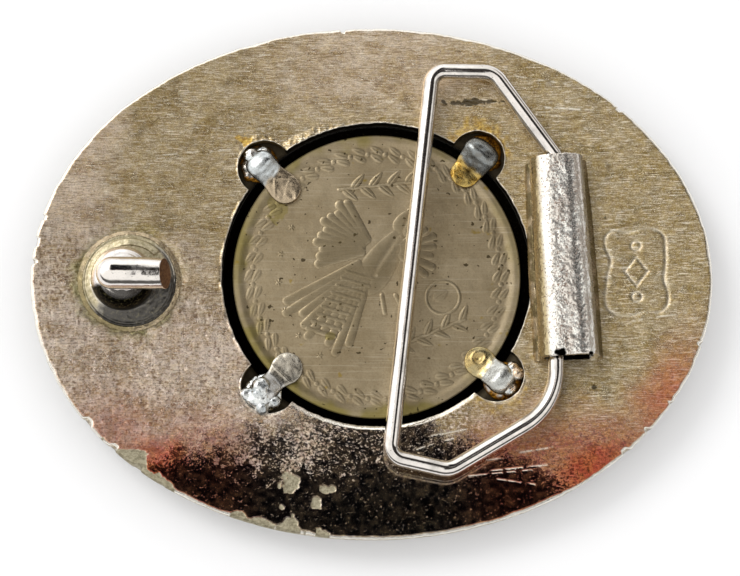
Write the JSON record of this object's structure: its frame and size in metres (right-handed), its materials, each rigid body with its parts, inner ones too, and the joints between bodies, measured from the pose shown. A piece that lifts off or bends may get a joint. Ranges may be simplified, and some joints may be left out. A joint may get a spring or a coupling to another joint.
{
  "type": "belt buckle",
  "caption": "Oval dished belt buckle holding a coin: soldered hook stud on its back and a bent wire loop for the belt, hinged in a flattened tube.",
  "frame": {"origin": "under the middle of the oval, at the height of the coin bezel's flat face, the buckle's lowest face", "axes": "+X along the oval from the hook stud to the bail barrel, +Y across the oval, +Z out of the buckle's back"},
  "size_m": [0.089, 0.068, 0.0135],
  "materials": {
    "worn_nickel_plate": "nickel plate, brushed, worn and tarnished",
    "face_nickel_silver": "bright face metal, darkened in its hollows",
    "bezel_nickel_silver": "polished",
    "coin_cupronickel": "struck, circulated, dull",
    "tab_metal": "tinned strip, dull",
    "soft_solder": "soft solder, lumpy, part bright and part dull",
    "polished_nickel": "polished nickel plate",
    "cast_nickel": "bright plate over a rough speckled surface"
  },
  "bodies": {
    "root": {"back_plate": "worn_nickel_plate", "front_plate": "face_nickel_silver", "rope_border": "face_nickel_silver", "coin_bezel": "bezel_nickel_silver", "bezel_rope": "bezel_nickel_silver", "coin": "coin_cupronickel", "retaining_tab_upper_left": "tab_metal", "retaining_tab_upper_right": "tab_metal", "retaining_tab_lower_left": "tab_metal", "retaining_tab_lower_right": "tab_metal", "tab_solder_upper_left": "soft_solder", "tab_solder_upper_right": "soft_solder", "tab_solder_lower_left": "soft_solder", "tab_solder_lower_right": "soft_solder", "hook_stud": "polished_nickel", "hook_solder": "soft_solder", "bail_barrel": "cast_nickel", "barrel_solder_inner": "soft_solder", "barrel_solder_outer": "soft_solder"},
    "bail": {"bail_wire": "polished_nickel"}
  },
  "joints": [
    {"name": "bail_swing", "type": "hinge", "parent": "root", "child": "bail", "pos_m": [0.02425, 0.0159, 0.00753], "axis": [0.0136, 0.9999, 0], "range_deg": [-7.4, 176]}
  ]
}
